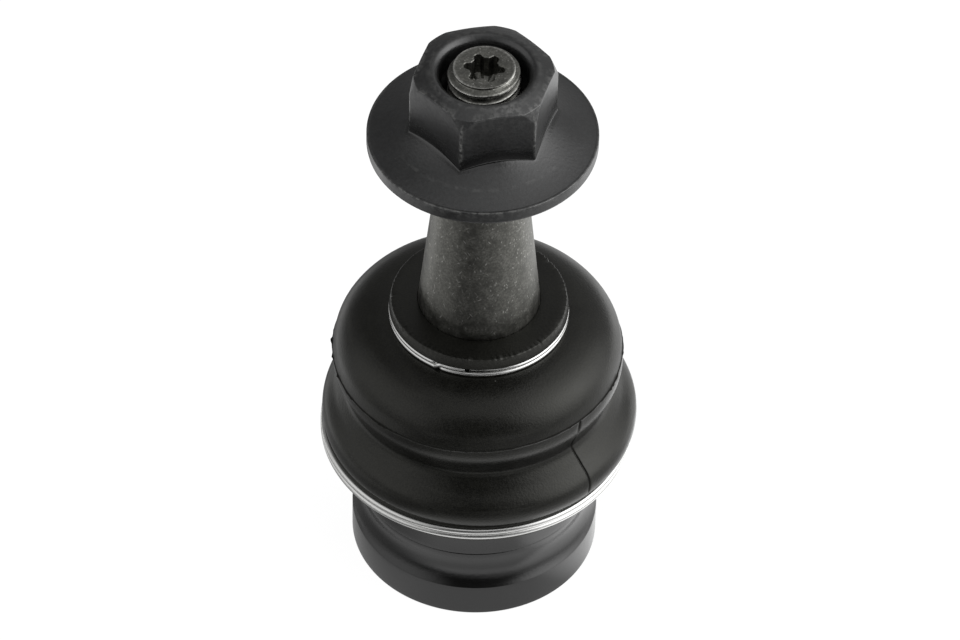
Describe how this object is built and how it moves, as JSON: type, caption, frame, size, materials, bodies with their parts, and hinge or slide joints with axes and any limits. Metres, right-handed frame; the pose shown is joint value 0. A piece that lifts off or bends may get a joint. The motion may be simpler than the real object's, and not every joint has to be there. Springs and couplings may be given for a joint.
{
  "type": "suspension ball joint",
  "caption": "Press-in suspension ball joint: short round housing, rubber dust boot held by wire rings, tapered ball stud and a wide flange nut.",
  "frame": {"origin": "centre of the housing's lower face, on the stud's axis", "axes": "+Z along the stud, from the housing's foot to the stud's threaded end; +Y away from the side the nut's steep corner faces"},
  "size_m": [0.054, 0.054, 0.1103],
  "materials": {
    "housing_coating": "satin black coating on forged steel",
    "end_cap_steel": "pressed steel, dull",
    "seal_rubber": "soft black rubber",
    "spring_steel": "tempered steel",
    "shell_plastic": "natural acetal",
    "stud_steel": "hardened steel, mottled grey",
    "boot_rubber": "satin black rubber",
    "ring_wire": "bright drawn wire",
    "nut_phosphate": "black phosphate on steel"
  },
  "bodies": {
    "housing": {"housing": "housing_coating", "end_cap": "end_cap_steel", "cap_seal_ring": "seal_rubber", "preload_disc_spring": "spring_steel", "lower_bearing_shell": "shell_plastic", "upper_bearing_shell": "shell_plastic"},
    "boot": {"dust_boot": "boot_rubber", "large_clamp_ring": "ring_wire"},
    "boot_neck": {"small_clamp_ring": "ring_wire"},
    "stud": {"ball_stud": "stud_steel"},
    "nut": {"flange_nut": "nut_phosphate"}
  },
  "joints": [
    {"name": "tilt_direction", "type": "hinge", "parent": "housing", "child": "boot", "pos_m": [0, 0, 0.0215], "axis": [0, 0, 1], "continuous": true},
    {"name": "stud_tilt", "type": "hinge", "parent": "boot", "child": "boot_neck", "pos_m": [0, 0, 0.0215], "axis": [1, 0, 0], "range_deg": [-24, 24], "deforming": ["dust_boot"]},
    {"name": "stud_spin", "type": "hinge", "parent": "boot_neck", "child": "stud", "pos_m": [0, 0, 0.0215], "axis": [0, 0, 1], "continuous": true},
    {"name": "nut_turn", "type": "hinge", "parent": "stud", "child": "nut", "pos_m": [0, 0, 0.1015], "axis": [0, 0, 1], "continuous": true}
  ]
}
